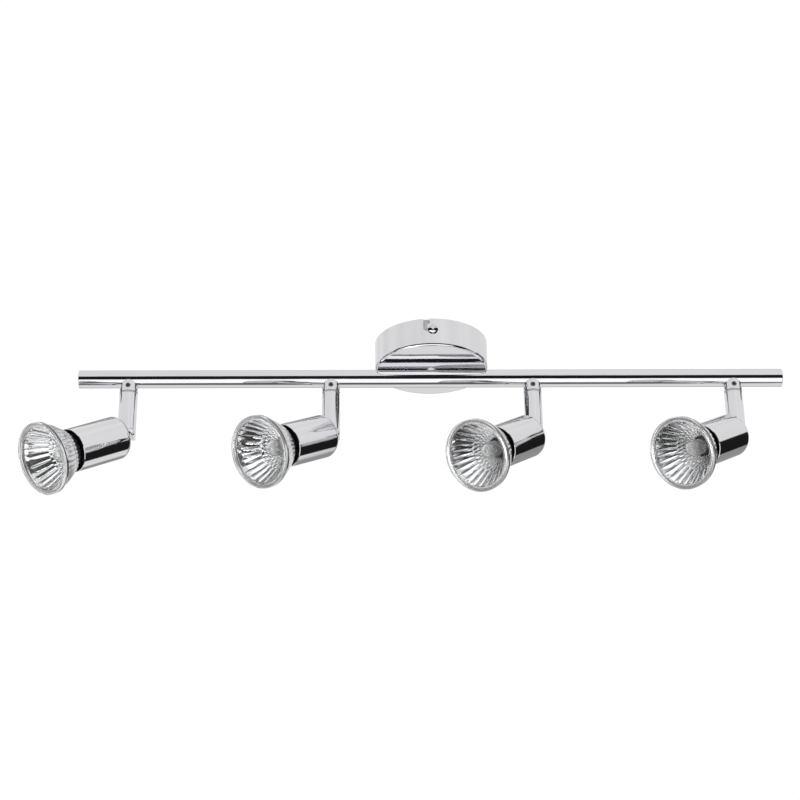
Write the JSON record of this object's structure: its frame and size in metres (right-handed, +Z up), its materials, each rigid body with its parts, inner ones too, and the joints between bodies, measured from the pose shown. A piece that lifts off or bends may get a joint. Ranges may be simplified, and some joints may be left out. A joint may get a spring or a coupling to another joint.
{
  "type": "ceiling spotlight bar",
  "caption": "Chrome ceiling bar with a round canopy and swivelling, tilting cylinder heads that hold 50 mm twist-lock reflector lamps.",
  "frame": {"origin": "centre of the ceiling bracket's upper face, in the plane of the ceiling", "axes": "+X along the bar, +Y away from the side the heads face, +Z up into the ceiling"},
  "size_m": [0.5335, 0.1087, 0.1292],
  "materials": {
    "chrome": "bright chrome plating",
    "zinc_steel": "zinc-plated steel",
    "black_steel": "blackened steel, satin",
    "brass": "plain brass",
    "terminal_plastic": "natural nylon",
    "lead_insulation": "silicone-sleeved flex",
    "holder_ceramic": "unglazed steatite",
    "lamp_ceramic": "unglazed white ceramic",
    "pin_metal": "nickel-plated",
    "reflector_mirror": "mirror-coated pressed glass",
    "clear_glass": "clear polished glass"
  },
  "bodies": {
    "fixture": {"canopy": "chrome", "ceiling_bracket": "zinc_steel", "canopy_screws": "chrome", "terminal_block": "terminal_plastic", "terminal_screws": "brass", "bar_tube": "chrome", "bar_end_caps": "chrome", "bar_anchors": "zinc_steel", "bar_screws": "zinc_steel", "wire_bush": "terminal_plastic", "supply_leads": "lead_insulation", "swivel_collars": "chrome", "collar_grub_screws": "black_steel", "swivel_studs": "brass", "swivel_washers": "zinc_steel", "swivel_nuts": "brass"},
    "arm_body_1": {"arm_1": "chrome", "arm_bush_1": "chrome", "pivot_screw_1": "chrome"},
    "head_body_1": {"knuckle_1": "chrome", "head_cup_1": "chrome", "lampholder_1": "holder_ceramic"},
    "lamp_body_1": {"lamp_pins_1": "pin_metal", "lamp_base_1": "lamp_ceramic", "lamp_reflector_1": "reflector_mirror", "lamp_glass_1": "clear_glass", "lamp_capsule_1": "clear_glass"},
    "arm_body_2": {"arm_2": "chrome", "arm_bush_2": "chrome", "pivot_screw_2": "chrome"},
    "head_body_2": {"knuckle_2": "chrome", "head_cup_2": "chrome", "lampholder_2": "holder_ceramic"},
    "lamp_body_2": {"lamp_pins_2": "pin_metal", "lamp_base_2": "lamp_ceramic", "lamp_reflector_2": "reflector_mirror", "lamp_glass_2": "clear_glass", "lamp_capsule_2": "clear_glass"},
    "arm_body_3": {"arm_3": "chrome", "arm_bush_3": "chrome", "pivot_screw_3": "chrome"},
    "head_body_3": {"knuckle_3": "chrome", "head_cup_3": "chrome", "lampholder_3": "holder_ceramic"},
    "lamp_body_3": {"lamp_pins_3": "pin_metal", "lamp_base_3": "lamp_ceramic", "lamp_reflector_3": "reflector_mirror", "lamp_glass_3": "clear_glass", "lamp_capsule_3": "clear_glass"},
    "arm_body_4": {"arm_4": "chrome", "arm_bush_4": "chrome", "pivot_screw_4": "chrome"},
    "head_body_4": {"knuckle_4": "chrome", "head_cup_4": "chrome", "lampholder_4": "holder_ceramic"},
    "lamp_body_4": {"lamp_pins_4": "pin_metal", "lamp_base_4": "lamp_ceramic", "lamp_reflector_4": "reflector_mirror", "lamp_glass_4": "clear_glass", "lamp_capsule_4": "clear_glass"}
  },
  "joints": [
    {"name": "swivel_1", "type": "hinge", "parent": "fixture", "child": "arm_body_1", "pos_m": [-0.2145, 0, -0.03835], "axis": [0, 0, 1], "range_deg": [-119, 221]},
    {"name": "tilt_1", "type": "hinge", "parent": "arm_body_1", "child": "head_body_1", "pos_m": [-0.2145, 0, -0.07035], "axis": [0.6293, -0.7771, 0], "range_deg": [-29, 61]},
    {"name": "lamp_twist_1", "type": "hinge", "parent": "head_body_1", "child": "lamp_body_1", "pos_m": [-0.2145, 0, -0.07035], "axis": [-0.6797, -0.5504, -0.4848], "range_deg": [0, 25]},
    {"name": "swivel_2", "type": "hinge", "parent": "fixture", "child": "arm_body_2", "pos_m": [-0.0715, 0, -0.03835], "axis": [0, 0, 1], "range_deg": [-124, 216]},
    {"name": "tilt_2", "type": "hinge", "parent": "arm_body_2", "child": "head_body_2", "pos_m": [-0.0715, 0, -0.07035], "axis": [0.6947, -0.7193, 0], "range_deg": [-27, 63]},
    {"name": "lamp_twist_2", "type": "hinge", "parent": "head_body_2", "child": "lamp_body_2", "pos_m": [-0.0715, 0, -0.07035], "axis": [-0.6409, -0.6189, -0.454], "range_deg": [0, 25]},
    {"name": "swivel_3", "type": "hinge", "parent": "fixture", "child": "arm_body_3", "pos_m": [0.0715, 0, -0.03835], "axis": [0, 0, 1], "range_deg": [-126.5, 213.5]},
    {"name": "tilt_3", "type": "hinge", "parent": "arm_body_3", "child": "head_body_3", "pos_m": [0.0715, 0, -0.07035], "axis": [0.7254, -0.6884, 0], "range_deg": [-30, 60]},
    {"name": "lamp_twist_3", "type": "hinge", "parent": "head_body_3", "child": "lamp_body_3", "pos_m": [0.0715, 0, -0.07035], "axis": [-0.5961, -0.6282, -0.5], "range_deg": [0, 25]},
    {"name": "swivel_4", "type": "hinge", "parent": "fixture", "child": "arm_body_4", "pos_m": [0.2145, 0, -0.03835], "axis": [0, 0, 1], "range_deg": [-122.5, 217.5]},
    {"name": "tilt_4", "type": "hinge", "parent": "arm_body_4", "child": "head_body_4", "pos_m": [0.2145, 0, -0.07035], "axis": [0.6756, -0.7373, 0], "range_deg": [-28, 62]},
    {"name": "lamp_twist_4", "type": "hinge", "parent": "head_body_4", "child": "lamp_body_4", "pos_m": [0.2145, 0, -0.07035], "axis": [-0.651, -0.5965, -0.4695], "range_deg": [0, 25]}
  ]
}
